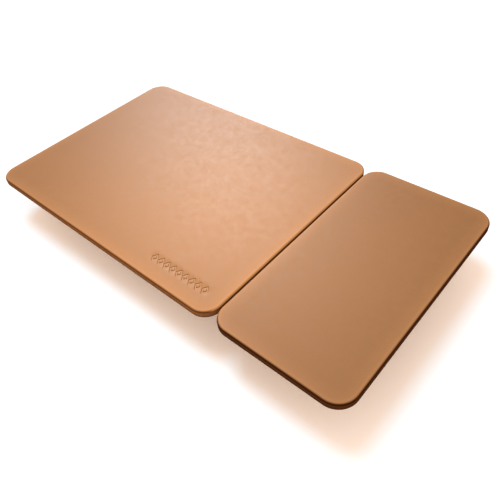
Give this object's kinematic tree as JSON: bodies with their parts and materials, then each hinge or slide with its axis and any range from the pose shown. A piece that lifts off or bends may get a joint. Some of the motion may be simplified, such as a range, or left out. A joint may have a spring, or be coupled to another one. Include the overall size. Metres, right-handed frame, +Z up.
{
  "type": "folding desk pad with wireless charger",
  "caption": "Leather desk pad in two rounded panels joined by a fold: a wide mouse-pad panel and a narrow wireless charger panel with an inlet in its back edge.",
  "frame": {"origin": "bottom centre of the open pad, on the plane of its feet", "axes": "+X from the mouse-pad panel to the charger panel, +Y to the back, where the inlet is, +Z up"},
  "size_m": [0.3754, 0.2, 0.0076],
  "materials": {
    "top_leather": "satin",
    "base_leather": "matte",
    "foam": "matte",
    "fibre_board": "matte",
    "liner_board": "matte",
    "foot_rubber": "matte",
    "cover_plastic": "matte",
    "tray_plastic": "matte",
    "coil_wire": "satin",
    "ferrite": "satin",
    "sensor_resin": "gloss",
    "board_laminate": "satin",
    "screw_steel": "satin",
    "chip_resin": "matte",
    "capacitor_ceramic": "satin",
    "led_resin": "gloss",
    "light_pipe_plastic": "gloss",
    "bezel_plastic": "satin",
    "shell_steel": "satin"
  },
  "bodies": {
    "mouse_pad": {"mouse_pad_top_skin": "top_leather", "mouse_pad_foam": "foam", "mouse_pad_board": "fibre_board", "mouse_pad_base_liner": "liner_board", "mouse_pad_base_skin": "base_leather", "mouse_pad_feet": "foot_rubber"},
    "charger": {"charger_top_skin": "top_leather", "charger_cover_plate": "cover_plastic", "charger_tray": "tray_plastic", "charger_base_skin": "base_leather", "charger_feet": "foot_rubber", "phone_coil": "coil_wire", "phone_ferrite_sheet": "ferrite", "phone_coil_lead": "coil_wire", "phone_temperature_sensor": "sensor_resin", "earbud_coil": "coil_wire", "earbud_ferrite_sheet": "ferrite", "earbud_coil_lead": "coil_wire", "earbud_temperature_sensor": "sensor_resin", "circuit_board": "board_laminate", "board_screws": "screw_steel", "controller_chip": "chip_resin", "power_stage_chips": "chip_resin", "resonance_capacitors": "capacitor_ceramic", "filter_inductor": "ferrite", "bulk_capacitors": "capacitor_ceramic", "status_led": "led_resin", "led_light_pipe": "light_pipe_plastic", "port_bezel": "bezel_plastic", "usb_c_shell": "shell_steel", "usb_c_tongue": "chip_resin"}
  },
  "joints": [
    {"name": "fold", "type": "hinge", "parent": "mouse_pad", "child": "charger", "pos_m": [0.081, 0, 0], "axis": [0, 1, 0], "range_deg": [0, 180]}
  ]
}
